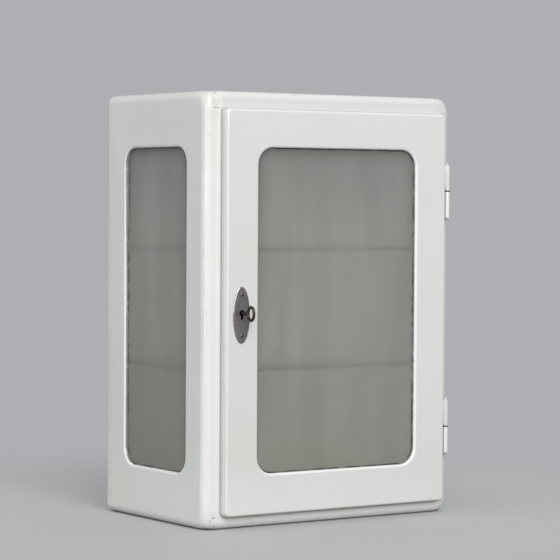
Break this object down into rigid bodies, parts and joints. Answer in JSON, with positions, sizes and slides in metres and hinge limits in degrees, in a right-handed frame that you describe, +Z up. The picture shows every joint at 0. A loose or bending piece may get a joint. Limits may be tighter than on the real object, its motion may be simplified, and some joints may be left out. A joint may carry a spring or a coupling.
{
  "type": "glass door medical cabinet",
  "caption": "White enamelled sheet steel medicine cabinet with rounded edges, frosted glass in its hinged door and sides, glass shelves and a key-turned latch.",
  "frame": {"origin": "middle of the underside of the case, without the door", "axes": "+Z up, +Y to the back, +X to the right of someone facing the door"},
  "size_m": [0.42, 0.3131, 0.6],
  "materials": {
    "enamel": "brush-painted white enamel, satin gloss, slightly worn at the edges",
    "frosted_glass": "sandblasted, grey-green",
    "shelf_glass": "clear float glass with ground edges",
    "steel": "plain steel, dulled",
    "zinc": "zinc plated",
    "iron": "dark, handled iron"
  },
  "bodies": {
    "case": {"top_panel": "enamel", "bottom_panel": "enamel", "left_side_panel": "enamel", "right_side_panel": "enamel", "back_panel": "enamel", "left_pane": "frosted_glass", "right_pane": "frosted_glass", "left_pane_retainer": "enamel", "right_pane_retainer": "enamel", "left_pane_nut_1": "zinc", "left_pane_nut_2": "zinc", "left_pane_nut_3": "zinc", "left_pane_nut_4": "zinc", "right_pane_nut_1": "zinc", "right_pane_nut_2": "zinc", "right_pane_nut_3": "zinc", "right_pane_nut_4": "zinc", "upper_shelf": "shelf_glass", "lower_shelf": "shelf_glass", "upper_shelf_bracket_1": "enamel", "upper_shelf_bracket_2": "enamel", "upper_shelf_bracket_3": "enamel", "upper_shelf_bracket_4": "enamel", "lower_shelf_bracket_1": "enamel", "lower_shelf_bracket_2": "enamel", "lower_shelf_bracket_3": "enamel", "lower_shelf_bracket_4": "enamel", "upper_hinge_case_leaf": "enamel", "lower_hinge_case_leaf": "enamel", "upper_hinge_pin": "steel", "lower_hinge_pin": "steel", "upper_hinge_washer": "steel", "lower_hinge_washer": "steel"},
    "door": {"door_skin": "enamel", "door_pane": "frosted_glass", "door_pane_retainer": "enamel", "door_pane_nut_1": "zinc", "door_pane_nut_2": "zinc", "door_pane_nut_3": "zinc", "door_pane_nut_4": "zinc", "door_pane_nut_5": "zinc", "door_pane_nut_6": "zinc", "upper_hinge_door_leaf": "enamel", "lower_hinge_door_leaf": "enamel", "escutcheon": "steel", "escutcheon_screw_upper": "steel", "escutcheon_screw_lower": "steel", "lock_case": "zinc"},
    "latch": {"key": "iron", "lock_hub": "steel", "latch_spring_washer": "steel", "latch_tongue": "steel", "latch_nut": "steel"}
  },
  "joints": [
    {"name": "door_swing", "type": "hinge", "parent": "case", "child": "door", "pos_m": [0.1975, -0.143, 0.297], "axis": [0, 0, 1], "range_deg": [0, 180]},
    {"name": "key_turn", "type": "hinge", "parent": "door", "child": "latch", "pos_m": [-0.1595, -0.147, 0.297], "axis": [0, 1, 0], "range_deg": [0, 90]}
  ]
}
